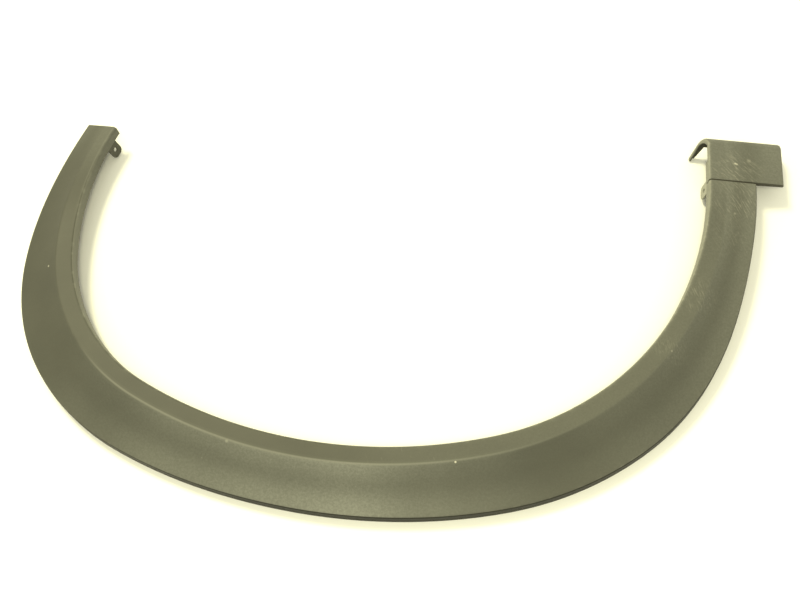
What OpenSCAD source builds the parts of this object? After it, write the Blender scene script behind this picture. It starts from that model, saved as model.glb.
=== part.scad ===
// Wheel arch trim of grained black-grey polypropylene, one moulding, lying face up.
// Plan: the inner edge is a chain of tangent arcs that runs from the square-cut tail round the crown to the foot.
// The foot leg ends square to X, and the wheel opening faces +Y.

/* [Arch path] */
// Radius of the inner edge along the tail leg
tail_leg_r = 355; // [320:1:500]
// Turn of the tail leg, in degrees
tail_leg_turn = 30.5; // [24:0.5:34]
// Radius of the inner edge round the tail-side corner
tail_corner_r = 231; // [200:1:270]
// Turn of the tail-side corner, in degrees
tail_corner_turn = 51; // [46:0.5:56]
// Radius of the inner edge along the crown
crown_r = 551; // [470:1:650]
// Turn of the crown, in degrees
crown_turn = 42; // [36:0.5:48]
// Radius of the inner edge round the foot-side corner
foot_corner_r = 322.5; // [280:0.5:370]
// Turn of the foot-side corner, in degrees
foot_corner_turn = 47.5; // [42:0.5:53]
// Radius of the inner edge along the foot leg
foot_leg_r = 413; // [340:1:520]
// Turn of the foot leg, in degrees
foot_leg_turn = 24; // [20:0.5:29]

/* [Band widths] */
// Width of the band at the tail end
band_w_tail = 54.5; // [50:0.5:62]
// Width of the band at the middle of the tail-side corner
band_w_tail_corner = 80; // [70:0.5:92]
// Width of the band at the middle of the crown
band_w_crown = 71.5; // [63:0.5:84]
// Width of the band at the middle of the foot-side corner
band_w_foot_corner = 77; // [68:0.5:90]
// Width of the band where it meets the foot
band_w_foot = 59.5; // [54:0.5:70]

/* [Section] */
// Wall thickness of the moulding
wall = 2.6; // [2.2:0.1:3.2]
// Height of the inner edge above the rim plane
inner_h = 36; // [32:0.5:44]
// Distance of the crease from the inner edge
crease_in = 20; // [15:0.5:24]
// Height of the crease above the inner edge
crease_rise = 3; // [0:0.5:5]
// Hollow of the main face below a straight slope
face_sag = 2.5; // [0:0.5:4]
// Length at each end of the band over which the crease fades out
crease_fade = 210; // [100:10:300]
// Outside radius of the two long edges
edge_r = 3.4; // [3.3:0.1:4.5]

/* [Outer wall] */
// Height of the outer wall at the tail end
outer_h_tail = 17; // [13:0.5:21]
// Height of the outer wall along the crown
outer_h_crown = 15; // [12:0.5:20]
// Draft of the outer wall, in degrees
outer_draft = 6; // [2:0.5:9]

/* [Inner lip] */
// Depth of the lip below the inner edge
lip_depth = 14; // [11:0.5:17]

/* [Foot] */
// Width of the foot, from the inner edge outwards
foot_w = 89.5; // [80:0.5:104]
// Length of the foot, from the groove to the far flange
foot_len = 64; // [54:0.5:74]
// Slant of the groove and of the foot's two ends, in degrees
foot_slant = 2.7; // [0:0.1:4]
// Fall of the foot's top from its inner to its outer edge
foot_drop = 9; // [6:0.5:14]
// Outside radius where the foot's top turns down into the far flange
foot_bend_r = 12; // [9:0.5:14]
// Turn from the foot's top down into the far flange, in degrees; past 90 the flange leans back under the foot
flange_turn = 118; // [100:1:122]
// Depth of the far flange below its bend
flange_len = 3; // [1:0.5:4]
// Width at its root of the tongue that runs on down from the far flange's inner end
tongue_w = 8; // [6:0.5:12]
// Height of the tongue's tip above the rim plane
tongue_gap = 2; // [1:0.5:8]
// Distance that the tongue's tip flares out into the wheel opening
tongue_flare = 14.5; // [8:0.5:16]
// Depth of the small return along the foot's outer edge and of its near flange
foot_return = 5; // [3.5:0.5:8]
// Length of lip that carries on along the foot
foot_lip_len = 30; // [20:0.5:40]
// Width of the groove between band and foot
groove_w = 1.4; // [1:0.1:2]
// Depth of the groove between band and foot
groove_depth = 1; // [0.6:0.1:1.2]

/* [Screw ears] */
// Length of each ear below the lip
ear_drop = 18; // [14:0.5:18]
// Width of each ear along the edge
ear_w = 18; // [15:0.5:22]
// Thickness of each ear
ear_t = 2.3; // [2:0.1:3]
// Radius of each ear's two lower corners
ear_corner_r = 6; // [3:0.5:8]
// Diameter of the screw hole in each ear
ear_hole_d = 5.6; // [4.2:0.1:7]
// Distance of the hole's middle below the lip
ear_hole_down = 8.5; // [7:0.5:9.5]
// Distance from the tail end to the tail-side ear
tail_ear_from = 12; // [6:0.5:16]
// Lean of the tail-side ear into the wheel opening, in degrees
tail_ear_lean = 14; // [5:1:25]
// Distance from the groove back to the middle of the foot-side ear
foot_ear_back = 3.5; // [0:0.5:12]
// Lean of the foot-side ear into the wheel opening, in degrees
foot_ear_lean = 6; // [4:1:15]

/* [Clip towers] */
// Number of clip towers under the band
tower_count = 7; // [5:1:9]
// Width of a clip tower across the band
tower_w = 20; // [17:0.5:22]
// Length of a clip tower along the band
tower_len = 18; // [15:0.5:22]
// Thickness of a clip tower's walls
tower_wall = 2; // [1.6:0.1:2.4]
// Thickness of a clip tower's slotted seat
seat_t = 2.4; // [2:0.1:3]
// Height of the slotted seat above the rim plane
seat_gap = 2; // [1:0.5:4]
// Width of the slot that takes a clip's neck
slot_w = 7.4; // [6.4:0.1:9]
// Distance from the inner edge to the clip towers
tower_in = 26; // [24:0.5:29]

/* [Ribs] */
// Thickness of a cross rib
rib_t = 1.8; // [1.4:0.1:2.2]
// Depth of a cross rib below the skin
rib_depth = 8; // [5:0.5:10]

/* [Smoothness] */
// Longest step along the band between two sections
step_len = 17; // [12:1:24]

/* [Hidden] */

// Flat pieces on the two sides of a curved skin start this far inside it
bury = 0.2;
// Distance over which the skin steps into the groove and the lip steps back on the foot
step_run = 0.5;
// Depth of edge that stays where the lip is cut back
bare_lip = wall + edge_r;
// Straight spans of the main face
face_spans = 5;
// Chords of the bend into the far flange
bend_spans = 6;

ARCS = [
    [tail_leg_r, tail_leg_turn],
    [tail_corner_r, tail_corner_turn],
    [crown_r, crown_turn],
    [foot_corner_r, foot_corner_turn],
    [foot_leg_r, foot_leg_turn]
];

function arc_len(arc) = arc[0] * arc[1] * PI / 180;

// Length of the first n arcs
function len_to(n) = n == 0 ? 0 : arc_len(ARCS[n - 1]) + len_to(n - 1);

// Sum of the turns of the first n arcs
function turn_to(n) = n == 0 ? 0 : ARCS[n - 1][1] + turn_to(n - 1);

band_len = len_to(5);

// The tail's heading leaves the foot leg square to X at its end
START = [0, 0, 90 - turn_to(5)];

// State [x, y, heading] after walking dist along an arc of radius r
function walk(from, r, dist) =
    let(to = from[2] + dist / r * 180 / PI)
    [
        from[0] + r * (sin(to) - sin(from[2])),
        from[1] - r * (cos(to) - cos(from[2])),
        to
    ];

// State on the inner edge at distance s from the tail end
function along(s, i = 0, from = START) =
    let(span = arc_len(ARCS[i]))
    (s <= span || i == len(ARCS) - 1)
        ? walk(from, ARCS[i][0], s)
        : along(s - span, i + 1, walk(from, ARCS[i][0], span));

// Half-wave blend from 0 to 1
function ease(t) = (1 - cos(180 * min(1, max(0, t)))) / 2;

// Value at s of a curve that eases from knot to knot, each knot being [s, value]
function eased(knots, s, i = 0) =
    i == len(knots) - 1 ? knots[i][1]
    : s <= knots[i + 1][0]
        ? knots[i][1] + (knots[i + 1][1] - knots[i][1])
            * ease((s - knots[i][0]) / (knots[i + 1][0] - knots[i][0]))
        : eased(knots, s, i + 1);

// Middles of the two corners and the crown, and the place where the foot leg has its end width
tail_corner_s = (len_to(1) + len_to(2)) / 2;
crown_s = (len_to(2) + len_to(3)) / 2;
foot_corner_s = (len_to(3) + len_to(4)) / 2;
foot_leg_s = band_len - arc_len(ARCS[4]) / 3;

function band_w(s) = eased([
    [0, band_w_tail],
    [tail_corner_s, band_w_tail_corner],
    [crown_s, band_w_crown],
    [foot_corner_s, band_w_foot_corner],
    [foot_leg_s, band_w_foot]
], s);

// Slope of the foot's top, which the end of the band follows
foot_slope = foot_drop / foot_w;
outer_h_foot = inner_h - foot_slope * band_w_foot;

function outer_h(s) = eased([
    [0, outer_h_tail],
    [tail_corner_s, outer_h_crown],
    [foot_corner_s, outer_h_crown],
    [band_len, outer_h_foot]
], s);

// Share of the crease and of the hollow face that is left at s
function crease_share(s) = ease(s / crease_fade) * ease((band_len - s) / crease_fade);

// Height of the crease line, which lies on the straight fall between the edges where it has faded out
function crease_h(s) =
    inner_h + (outer_h(s) - inner_h) * crease_in / band_w(s) * (1 - crease_share(s))
    + crease_rise * crease_share(s);

// Place of the outer wall's top, inside the rim by the draft
function face_end(s) = band_w(s) - outer_h(s) * tan(outer_draft);

// Height of the visible face at distance u from the inner edge
function face_z(s, u) =
    u <= crease_in
        ? inner_h + (crease_h(s) - inner_h) * u / crease_in
        : let(t = (u - crease_in) / (face_end(s) - crease_in))
          crease_h(s) + (outer_h(s) - crease_h(s)) * t - 4 * face_sag * crease_share(s) * t * (1 - t);

function unit(v) = v / norm(v);

// Points of an arc of radius r that rounds the corner b between a and c
function fillet(a, b, c, r, spans) =
    let(
        to_a = unit(a - b),
        to_c = unit(c - b),
        half = acos(to_a * to_c) / 2,
        centre = b + unit(to_a + to_c) * r / sin(half),
        from = b + to_a * r / tan(half) - centre,
        to = b + to_c * r / tan(half) - centre,
        sweep = 180 - 2 * half
    )
    [for (k = [0 : spans])
        centre + (from * sin(sweep * (1 - k / spans)) + to * sin(sweep * k / spans)) / sin(sweep)];

// Visible outline of the band at s: up the lip, over the face and down the outer wall to rim_z, as [u, z]
function outline(s, rim_z = 0) =
    let(
        lip_foot = [0, inner_h - lip_depth],
        lip_top = [0, inner_h],
        crease = [crease_in, crease_h(s)],
        span = (face_end(s) - crease_in) / face_spans,
        face = [for (k = [1 : face_spans - 1])
            [crease_in + span * k, face_z(s, crease_in + span * k)]],
        shoulder = [face_end(s), outer_h(s)],
        rim = [band_w(s) - rim_z * tan(outer_draft), rim_z]
    )
    concat(
        [lip_foot],
        fillet(lip_foot, lip_top, crease, edge_r, 2),
        [[tongue_w, face_z(s, tongue_w)], crease],
        face,
        fillet(face[face_spans - 2], shoulder, rim, edge_r, 3),
        [rim]
    );

// Unit normal of the span from a to b, on its right
function right_of(a, b) = unit([b[1] - a[1], a[0] - b[0]]);

// Polyline moved to its right by t, with mitred corners and its two ends kept level
function inset(pts, t) =
    let(last = len(pts) - 1)
    [for (i = [0 : last])
        let(
            before = right_of(pts[max(0, i - 1)], pts[max(1, i)]),
            after = right_of(pts[min(last - 1, i)], pts[min(last, i + 1)])
        )
        (i == 0 || i == last)
            ? [pts[i][0] + t / after[0], pts[i][1]]
            : pts[i] + t * (before + after) / (1 + before * after)];

function reversed(list) = [for (i = [len(list) - 1 : -1 : 0]) list[i]];

// Closed section of the wall behind an outline, its outside set back by sunk
function section(pts, sunk = 0) =
    concat(sunk == 0 ? pts : inset(pts, sunk), reversed(inset(pts, wall)));

// Ring of the band at s, square to the inner edge but for the slant that grows towards the foot
function band_ring(s, sunk = 0, rim_z = 0) =
    let(at = along(s), slant = tan(foot_slant) * ease(1 - (band_len - s) / crease_fade))
    [for (p = section(outline(s, rim_z), sunk))
        [
            at[0] + p[0] * (sin(at[2]) + slant * cos(at[2])),
            at[1] + p[0] * (slant * sin(at[2]) - cos(at[2])),
            p[1]
        ]];

// Stations along the band up to the groove
groove_from = band_len - groove_w;
even_to = groove_from - step_run;
even_count = ceil(even_to / step_len);
STATIONS = [for (i = [0 : even_count]) even_to * i / even_count];

// Height to which the outer wall is cut back at the foot
cut_rim_z = outer_h_foot - foot_return;

// The foot stands on the end of the inner edge
FOOT = along(band_len);

// Outline of the foot across its top, as [u, depth below the top], with as many points as the band's
function foot_outline(lip) =
    let(corner = [foot_w, 0], span = (foot_w - crease_in) / face_spans)
    concat(
        [[0, -lip]],
        fillet([0, -lip], [0, 0], corner, edge_r, 2),
        [[tongue_w, 0], [crease_in, 0]],
        [for (k = [1 : face_spans - 1]) [crease_in + span * k, 0]],
        fillet([0, 0], corner, [foot_w, -foot_return], edge_r, 3),
        [[foot_w, -foot_return]]
    );

// Sections of the foot, as [u, depth below the top]: its near end is filled out to the band's inside,
// which makes the near flange
function foot_section(lip) = section(foot_outline(lip));

function near_section(lip) =
    concat(
        foot_outline(lip),
        [for (p = reversed(inset(outline(band_len, cut_rim_z), wall)))
            [p[0], p[1] - inner_h + foot_slope * p[0]]]
    );

// Length of the bend, and of the tongue below it at the inner edge
bend_len = foot_bend_r * flange_turn * PI / 180;
tongue_len = (inner_h - foot_bend_r * (1 - cos(flange_turn)) - tongue_gap) / sin(flange_turn);

// Flare of the inner edge at a distance past the start of the bend
function flare(dist) = tongue_flare * dist / (bend_len + tongue_len);

// Ring of the foot at distance y past the groove, turned down by tilt about the bend's axis
function foot_ring(pts, y, tilt = 0) =
    [for (p = pts)
        let(axis_z = inner_h - foot_slope * p[0] - foot_bend_r, out = foot_bend_r + p[1])
        [
            FOOT[0] + p[0] - flare(bend_len * tilt / flange_turn) * (1 - p[0] / foot_w),
            FOOT[1] + y + p[0] * tan(foot_slant) + out * sin(tilt),
            axis_z + out * cos(tilt)
        ]];

// Lower edge of the far flange: the bend's last ring drawn on by flange_len, and as far as the tongue's tip
// at the inner end
function flange_ring(pts) =
    let(ring = foot_ring(pts, foot_flat, flange_turn), tip_flare = tongue_flare - flare(bend_len))
    [for (i = [0 : len(pts) - 1])
        let(
            p = ring[i],
            on_tongue = pts[i][0] < tongue_w,
            run = on_tongue ? (p[2] - tongue_gap) / sin(flange_turn) : flange_len
        )
        [p[0] - (on_tongue ? tip_flare : 0), p[1] + run * cos(flange_turn), p[2] - run * sin(flange_turn)]];

foot_flat = foot_len - foot_bend_r;
RINGS = concat(
    [for (s = STATIONS) band_ring(s)],
    [
        band_ring(groove_from, groove_depth),
        band_ring(band_len - 2 * step_run, groove_depth),
        band_ring(band_len - step_run, groove_depth, cut_rim_z)
    ],
    [
        foot_ring(near_section(lip_depth), 0),
        foot_ring(near_section(lip_depth), wall),
        foot_ring(foot_section(lip_depth), wall + step_run),
        foot_ring(foot_section(lip_depth), foot_lip_len),
        foot_ring(foot_section(bare_lip), foot_lip_len + step_run)
    ],
    [for (k = [0 : bend_spans])
        foot_ring(foot_section(bare_lip), foot_flat, flange_turn * k / bend_spans)],
    [flange_ring(foot_section(bare_lip))]
);

// Middle of the piece's plan box, which becomes the origin
PLAN_X = [for (ring = RINGS) for (p = ring) p[0]];
PLAN_Y = [for (ring = RINGS) for (p = ring) p[1]];
CENTRE = [(min(PLAN_X) + max(PLAN_X)) / 2, (min(PLAN_Y) + max(PLAN_Y)) / 2, 0];

// Solid through a row of closed rings with the same number of points; the last cap goes across the wall in
// triangles, because the tongue takes its ring out of one plane
module loft(rings) {
    n = len(rings[0]);
    last = len(rings) - 1;
    sides = [for (j = [0 : last - 1]) for (i = [0 : n - 1])
        [j * n + i, (j + 1) * n + i, (j + 1) * n + (i + 1) % n, j * n + (i + 1) % n]];
    tip = last * n;
    last_cap = [for (i = [0 : n / 2 - 2]) each [
        [tip + n - 1 - i, tip + n - 2 - i, tip + i + 1],
        [tip + n - 1 - i, tip + i + 1, tip + i]
    ]];
    polyhedron(
        points = [for (ring = rings) for (p = ring) p],
        faces = concat(sides, [[for (i = [0 : n - 1]) i]], last_cap)
    );
}

// Local frame at s: X along the edge, -Y across the band, Z up
module at_station(s) {
    place = along(s);
    translate([place[0], place[1], 0])
        rotate([0, 0, place[2]])
            children();
}

// Flat piece of thickness t in the plane of the section
module across(t) {
    rotate([90, 0, -90])
        linear_extrude(t, center = true)
            children();
}

// Height of the middle of the skin, where what is under it starts
function skin_z(s, u) = face_z(s, u) - wall / 2;

// Rounded tab with a screw hole, hanging from the lip's lower edge at s and leaning into the wheel opening
module ear(s, lean) {
    corner = [ear_w / 2 - ear_corner_r, ear_corner_r - ear_drop];
    at_station(s)
        translate([0, -bury, inner_h - lip_depth])
            rotate([90 + lean, 0, 0])
                difference() {
                    linear_extrude(ear_t)
                        union() {
                            polygon([
                                [-ear_w / 2, wall],
                                [ear_w / 2, wall],
                                [ear_w / 2, corner[1]],
                                [corner[0], -ear_drop],
                                [-corner[0], -ear_drop],
                                [-ear_w / 2, corner[1]]
                            ]);
                            for (side = [-1, 1])
                                translate([side * corner[0], corner[1]])
                                    circle(r = ear_corner_r, $fn = 48);
                        }
                    translate([0, -ear_hole_down, -wall])
                        cylinder(d = ear_hole_d, h = ear_t + 2 * wall, $fn = 48);
                }
}

// Box on the back whose slotted seat takes a push-in clip, open towards the foot
module clip_tower(s) {
    tower_out = tower_in + tower_w;
    at_station(s)
        difference() {
            union() {
                translate([-(tower_len - tower_wall) / 2, 0, 0])
                    across(tower_wall)
                        polygon([
                            [tower_in, seat_gap],
                            [tower_out, seat_gap],
                            [tower_out, skin_z(s, tower_out)],
                            [tower_in, skin_z(s, tower_in)]
                        ]);
                for (u = [tower_in, tower_out - tower_wall])
                    translate([-tower_len / 2, -u - tower_wall, seat_gap])
                        cube([tower_len, tower_wall, skin_z(s, u + tower_wall) - seat_gap]);
                translate([-tower_len / 2, -tower_out, seat_gap])
                    cube([tower_len, tower_w, seat_t]);
            }
            translate([0, -(tower_in + tower_out) / 2, seat_gap - wall])
                cylinder(d = slot_w, h = seat_t + 2 * wall, $fn = 48);
            translate([0, -(tower_in + tower_out + slot_w) / 2, seat_gap - wall])
                cube([tower_len, slot_w, seat_t + 2 * wall]);
        }
}

// Shallow web across the back of the band
module cross_rib(s) {
    from = wall / 2;
    to = face_end(s) - wall / 2;
    spots = [for (k = [0 : 4]) from + (to - from) * k / 4];
    at_station(s)
        across(rib_t)
            polygon(concat(
                [for (u = spots) [u, skin_z(s, u)]],
                [for (u = reversed(spots)) [u, skin_z(s, u) - rib_depth]]
            ));
}

tail_ear_s = tail_ear_from + ear_w / 2;
foot_ear_s = band_len - foot_ear_back;
tower_pitch = band_len / tower_count;

module trim() {
    color([0.41, 0.40, 0.32])
        translate(-CENTRE)
            union() {
                loft(RINGS);
                ear(tail_ear_s, tail_ear_lean);
                ear(foot_ear_s, foot_ear_lean);
                for (k = [0 : tower_count - 1])
                    clip_tower((k + 0.5) * tower_pitch);
                for (k = [1 : tower_count - 1])
                    cross_rib(k * tower_pitch);
            }
}

trim();
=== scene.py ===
import math

import bpy
import numpy as np
from bpy.props import FloatProperty, FloatVectorProperty, IntProperty, PointerProperty
from mathutils import Matrix, Vector


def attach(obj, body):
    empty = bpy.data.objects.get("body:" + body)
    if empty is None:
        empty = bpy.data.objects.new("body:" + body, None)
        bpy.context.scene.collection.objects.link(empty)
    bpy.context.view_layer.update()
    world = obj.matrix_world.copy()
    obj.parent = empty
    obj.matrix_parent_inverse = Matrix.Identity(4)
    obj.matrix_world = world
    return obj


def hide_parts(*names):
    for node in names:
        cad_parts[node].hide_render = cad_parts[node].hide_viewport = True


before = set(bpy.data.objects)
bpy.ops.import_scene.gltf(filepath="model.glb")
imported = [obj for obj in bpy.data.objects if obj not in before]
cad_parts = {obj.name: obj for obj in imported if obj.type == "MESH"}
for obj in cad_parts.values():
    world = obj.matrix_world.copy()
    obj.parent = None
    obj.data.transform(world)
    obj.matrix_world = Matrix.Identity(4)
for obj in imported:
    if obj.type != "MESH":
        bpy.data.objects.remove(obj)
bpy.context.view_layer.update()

bl_info = {
    "name": "Wheel arch trim",
    "version": (1, 0, 0),
    "blender": (4, 5, 0),
    "location": "3D View > Sidebar > Trim",
    "description": "Builds a moulded wheel arch trim, its finish and a plain stage",
    "category": "Object",
}

MM = 0.001
PLASTIC = "moulded grained PP"


def linear(code):
    """Linear colour of an sRGB hex code."""
    srgb = np.array([int(code[k:k + 2], 16) for k in (0, 2, 4)]) / 255
    return tuple(float(c) for c in np.where(srgb <= 0.04045, srgb / 12.92, ((srgb + 0.055) / 1.055) ** 2.4))


def length(name, size_mm, text):
    """A length whose default is given in millimetres."""
    return FloatProperty(
        name=name, description=text, default=size_mm * MM, min=0.0, unit="LENGTH", precision=4)


def angle(name, degrees, text):
    """An angle whose default is given in degrees."""
    return FloatProperty(
        name=name, description=text, default=math.radians(degrees), subtype="ANGLE", unit="ROTATION")


def colour(name, code, text):
    """A colour whose default is given as an sRGB hex code."""
    return FloatVectorProperty(
        name=name, description=text, default=linear(code), subtype="COLOR", min=0.0, max=1.0)


class TrimPath(bpy.types.PropertyGroup):
    """Inner edge: five tangent arcs from the tail to the foot."""
    tail_leg_r: length("Tail leg radius", 355, "Radius of the inner edge along the tail leg")
    tail_leg_turn: angle("Tail leg turn", 30.5, "Turn of the tail leg")
    tail_corner_r: length("Tail corner radius", 231, "Radius of the inner edge round the tail-side corner")
    tail_corner_turn: angle("Tail corner turn", 51, "Turn of the tail-side corner")
    crown_r: length("Crown radius", 551, "Radius of the inner edge along the crown")
    crown_turn: angle("Crown turn", 42, "Turn of the crown")
    foot_corner_r: length("Foot corner radius", 322.5, "Radius of the inner edge round the foot-side corner")
    foot_corner_turn: angle("Foot corner turn", 47.5, "Turn of the foot-side corner")
    foot_leg_r: length("Foot leg radius", 413, "Radius of the inner edge along the foot leg")
    foot_leg_turn: angle("Foot leg turn", 24, "Turn of the foot leg")
    middle_x: length("Plan middle X", 384.22, "Middle of the plan box, right of the tail's inner corner")
    middle_y: length(
        "Plan middle Y", 198.818, "Middle of the plan box, towards the crown from the tail's inner corner")


class TrimSection(bpy.types.PropertyGroup):
    """Section of the band and of the foot."""
    w_tail: length("Tail width", 54.5, "Width of the band at the tail end")
    w_tail_corner: length("Tail corner width", 80, "Width of the band at the tail-side corner")
    w_crown: length("Crown width", 71.5, "Width of the band at the crown")
    w_foot_corner: length("Foot corner width", 77, "Width of the band at the foot-side corner")
    w_foot: length("Foot leg width", 59.5, "Width of the band where it meets the foot")
    wall: length("Wall", 2.6, "Wall thickness of the moulding")
    inner_h: length("Inner edge height", 36, "Height of the inner edge above the rim plane")
    crease_in: length("Crease distance", 20, "Distance of the crease from the inner edge")
    crease_rise: length("Crease rise", 3, "Height of the crease above the inner edge")
    crease_fade: length("Crease fade", 210, "Length at each end over which the crease fades out")
    crease_soft: length("Crease softness", 1.6, "Half the width over which the crease is rounded")
    face_sag: length("Face hollow", 2.5, "Hollow of the main face below a straight slope")
    edge_r: length("Edge radius", 3.4, "Outside radius of the two long edges")
    rim_r: length("Rim radius", 0.5, "Radius of the wall's free edges")
    outer_h_tail: length("Outer wall at the tail", 17, "Height of the outer wall at the tail end")
    outer_h_crown: length("Outer wall at the crown", 15, "Height of the outer wall along the crown")
    outer_draft: angle("Draft", 6, "Draft of the outer wall")
    lip_depth: length("Lip depth", 14, "Depth of the lip below the inner edge")
    foot_w: length("Foot width", 89.5, "Width of the foot, from the inner edge outwards")
    foot_len: length("Foot length", 64, "Length of the foot, from the groove to the far flange")
    foot_slant: angle("Foot slant", 2.7, "Slant of the groove and of the foot's two ends")
    foot_drop: length("Foot drop", 9, "Fall of the foot's top from its inner to its outer edge")
    foot_bend_r: length("Foot bend radius", 12, "Outside radius where the top turns down into the far flange")
    flange_turn: angle("Flange turn", 118, "Turn from the foot's top down into the far flange")
    flange_len: length("Flange depth", 3, "Depth of the far flange below its bend")
    tongue_w: length("Tongue width", 8, "Width at its root of the tongue at the far flange's inner end")
    tongue_gap: length("Tongue gap", 2, "Height of the tongue's tip above the rim plane")
    tongue_flare: length(
        "Tongue flare", 14.5, "Distance that the tongue's tip flares out into the wheel opening")
    foot_return: length("Foot return", 5, "Depth of the return along the foot's outer edge")
    foot_lip_len: length("Foot lip length", 30, "Length of lip that carries on along the foot")
    groove_w: length("Groove width", 1.4, "Width of the groove between band and foot")
    groove_depth: length("Groove depth", 1.0, "Depth of the groove between band and foot")


class TrimFixings(bpy.types.PropertyGroup):
    """Screw ears on the lip, clip towers and ribs on the back."""
    ear_drop: length("Ear drop", 18, "Length of each ear below the lip")
    ear_w: length("Ear width", 18, "Width of each ear along the edge")
    ear_t: length("Ear thickness", 2.3, "Thickness of each ear")
    ear_corner_r: length("Ear corner radius", 6, "Radius of each ear's two lower corners")
    ear_hole_d: length("Ear hole", 5.6, "Diameter of the screw hole in each ear")
    ear_hole_down: length("Ear hole distance", 8.5, "Distance of the hole's middle below the lip")
    tail_ear_from: length("Tail ear distance", 12, "Distance from the tail end to the tail-side ear")
    tail_ear_lean: angle("Tail ear lean", 14, "Lean of the tail-side ear into the wheel opening")
    foot_ear_back: length("Foot ear distance", 3.5, "Distance from the groove back to the foot-side ear")
    foot_ear_lean: angle("Foot ear lean", 6, "Lean of the foot-side ear into the wheel opening")
    tower_count: IntProperty(name="Clip towers", description="Number of clip towers", default=7, min=2, max=9)
    tower_w: length("Tower width", 20, "Width of a clip tower across the band")
    tower_len: length("Tower length", 18, "Length of a clip tower along the band")
    tower_wall: length("Tower wall", 2, "Thickness of a clip tower's walls")
    seat_t: length("Seat thickness", 2.4, "Thickness of a clip tower's slotted seat")
    seat_gap: length("Seat gap", 2, "Height of the slotted seat above the rim plane")
    slot_w: length("Slot width", 7.4, "Width of the slot that takes a clip's neck")
    tower_in: length("Tower distance", 26, "Distance from the inner edge to the clip towers")
    rib_t: length("Rib thickness", 1.8, "Thickness of a cross rib")
    rib_depth: length("Rib depth", 8, "Depth of a cross rib below the skin")


class TrimFinish(bpy.types.PropertyGroup):
    """Colours of the moulding, of its rubbing and weathering, and of the shade, sheen and highlights painted
    on it.
    """
    base: colour("Polypropylene", "3d3d36", "Colour of the moulded polypropylene")
    faded: colour("Faded polypropylene", "4a4a41", "Colour where the surface is weathered")
    # Painted shade: near black for the outer wall, which faces away from the lamps
    wall_shade: colour("Unfaded polypropylene", "141309", "Colour of the outer wall, which the sun hasn't faded")
    # Paler patches: partly real bleaching by the sun, partly painted sheen from the lamps
    sheen_and_bleach: colour("Bleached polypropylene", "74756d", "Colour of the patches that the sun has bleached")
    # Pale colour for rubbed edges, also used for the painted highlight on the crease and the painted floor
    # light on the lip
    worn_and_lit: colour("Worn edge", "8b8b80", "Colour of rubbed edges")
    scuff: colour("Scuff", "b9b6a6", "Colour of scuffs and scratches")
    # Darker colour laid in the groove
    groove_dark: colour("Grime", "37352c", "Colour of dirt in the groove and hollows")
    floor: colour("Floor", "e9e9e6", "Colour of the floor")


# The inner edge's arcs in order, as the path names them
ARCS = ("tail_leg", "tail_corner", "crown", "foot_corner", "foot_leg")
# Points round the lip, the shoulder and each free edge of the wall
LIP_POINTS, SHOULDER_POINTS, RIM_POINTS = 7, 9, 3
# Spans down the lip, from the tongue to the crease, over the main face, and down the outer wall
SIDE_SPANS, BAND_SPANS, FACE_SPANS, WALL_SPANS = 4, 4, 18, 5
# Points on the strip between lip and crease, and over the crease's rounding
STRIP_POINTS, BEAD_POINTS = BAND_SPANS + 1, 7
# Points on a visible outline, from the foot of the lip to the rim
SKIN_POINTS = (
    SIDE_SPANS + LIP_POINTS + STRIP_POINTS + BEAD_POINTS + FACE_SPANS + SHOULDER_POINTS + WALL_SPANS
)
# Share of the main face that is drawn before the shoulder's rounding starts
FACE_SHARE = 0.9
# Step along the band between two sections
STEP = 3.5 * MM
# Distance over which the lip and the skin step at a notch or the groove
STEP_RUN = 0.5 * MM
# Chamfer of the wall at the tail end
END_CHAMFER = 0.3 * MM
# Share of the groove's depth at each of its sections, from the band to the foot
GROOVE_SHARES = np.array([0.35, 0.85, 1, 1, 1])
# Rounding of the foot's near edge: distance past the groove, and depth below the surface
NEAR_RUN, NEAR_DEPTH = np.array([0, 0.2, 0.6]) * MM, np.array([0.5, 0.15, 0, 0]) * MM
# Sections on each half of the foot's flat, round its bend and down the far flange
FLAT_RINGS, BEND_RINGS, FLANGE_RINGS = 8, 15, 9
# Points round an ear, on one of its corners, round a slot's end and along a rib
EAR_TURNS, CORNER_POINTS, SLOT_POINTS, RIB_POINTS = 72, 13, 25, 17
# Bevels of the ears and of the towers
EAR_BEVEL, TOWER_BEVEL = 0.35 * MM, 0.3 * MM
# The ears start this far inside the lip
BURY = 0.2 * MM
# Smallest divisor, and the slack of a comparison
TINY, SLACK = 1e-12, 1e-6


def path_of(shape):
    """Radii, turns and starting distances of the five arcs."""
    radii, turns = (np.array([getattr(shape, arc + kind) for arc in ARCS]) for kind in ("_r", "_turn"))
    return radii, turns, np.concatenate([[0.0], np.cumsum(radii * turns)])


def edge_at(shape, s):
    """Place and heading on the inner edge at distances s: each arc turns at a steady rate, and the last one
    ends with heading 90 degrees."""
    radii, turns, starts = path_of(shape)
    headings = math.pi / 2 - turns.sum() + np.concatenate([[0.0], np.cumsum(turns)])
    xs = np.concatenate([[0.0], np.cumsum(radii * np.diff(np.sin(headings)))]) - shape.middle_x
    ys = np.concatenate([[0.0], np.cumsum(-radii * np.diff(np.cos(headings)))]) + shape.middle_y
    s = np.asarray(s, float)
    arc = np.clip(np.searchsorted(starts, s, side="right") - 1, 0, len(radii) - 1)
    heading = headings[arc] + (s - starts[arc]) / radii[arc]
    x = xs[arc] + radii[arc] * (np.sin(heading) - np.sin(headings[arc]))
    y = ys[arc] - radii[arc] * (np.cos(heading) - np.cos(headings[arc]))
    return x, y, heading


def ease(t):
    """Half a cosine wave from 0 to 1."""
    return (1 - np.cos(np.pi * np.clip(t, 0, 1))) / 2


def eased(knots, s):
    """Value at s of a curve that eases from knot to knot."""
    places, values = np.array(knots).T
    i = np.clip(np.searchsorted(places, s, side="left") - 1, 0, len(places) - 2)
    return values[i] + (values[i + 1] - values[i]) * ease((s - places[i]) / (places[i + 1] - places[i]))


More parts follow.
